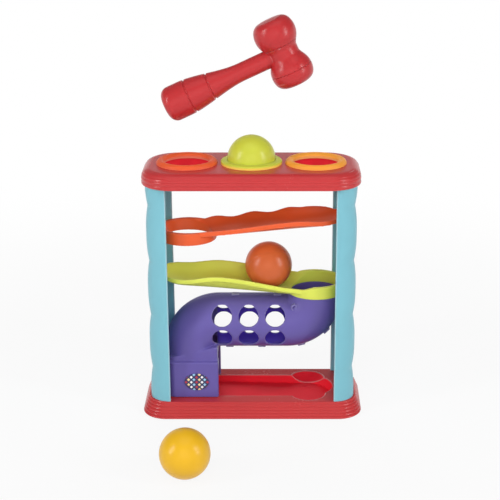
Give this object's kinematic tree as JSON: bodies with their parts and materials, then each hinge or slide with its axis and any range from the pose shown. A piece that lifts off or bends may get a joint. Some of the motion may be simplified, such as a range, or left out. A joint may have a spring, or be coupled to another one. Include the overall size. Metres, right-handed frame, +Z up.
{
  "type": "pound and roll tower",
  "caption": "Upright toy tower with soft rings in its deck, sloping gutters and a tube that bring hammered balls down to a channel in the base.",
  "frame": {"origin": "middle of the base's underside, on the surface that it stands on", "axes": "+Z up, +X to the right of the face with the badge, +Y to the back"},
  "size_m": [0.222, 0.2428, 0.3949],
  "materials": {
    "red_plastic": "satin",
    "blue_plastic": "satin",
    "orange_plastic": "satin",
    "lime_plastic": "satin",
    "purple_plastic": "satin",
    "orange_soft": "satin",
    "lime_soft": "satin",
    "yellow_soft": "satin",
    "badge_print": "satin",
    "steel": "satin",
    "hammer_red": "satin",
    "ball_lime": "satin",
    "ball_orange": "satin",
    "ball_yellow": "satin"
  },
  "bodies": {
    "tower": {"base_tray": "red_plastic", "base_plate": "red_plastic", "top_deck": "red_plastic", "left_panel": "blue_plastic", "right_panel": "blue_plastic", "upper_ramp": "orange_plastic", "lower_ramp": "lime_plastic", "tube_front": "purple_plastic", "tube_back": "purple_plastic", "ring_orange": "orange_soft", "ring_lime": "lime_soft", "ring_yellow": "yellow_soft", "badge": "badge_print", "base_screw_1": "steel", "base_screw_2": "steel", "base_screw_3": "steel", "base_screw_4": "steel"},
    "hammer": {"hammer_handle": "hammer_red", "hammer_head": "hammer_red", "hammer_cap_upper": "hammer_red", "hammer_cap_lower": "hammer_red"},
    "lime_ball": {"ball_lime": "ball_lime"},
    "orange_ball": {"ball_orange": "ball_orange"},
    "yellow_ball": {"ball_yellow": "ball_yellow"}
  },
  "joints": [
    {"name": "hammer_strike", "type": "hinge", "parent": "tower", "child": "hammer", "pos_m": [-0.0921, 0, 0.406], "axis": [0, 1, 0], "range_deg": [0, 24.5]},
    {"name": "lime_ball_drop", "type": "slide", "parent": "tower", "child": "lime_ball", "axis": [0, 0, 1], "range_m": [-0.046, 0], "deforming": ["ring_lime"]},
    {"name": "orange_ball_roll", "type": "slide", "parent": "tower", "child": "orange_ball", "axis": [0.996, 0, -0.0888], "range_m": [-0.053, 0.02]},
    {"name": "yellow_ball_roll", "type": "slide", "parent": "tower", "child": "yellow_ball", "axis": [1, 0, 0], "range_m": [-0.05, 0.05]}
  ]
}
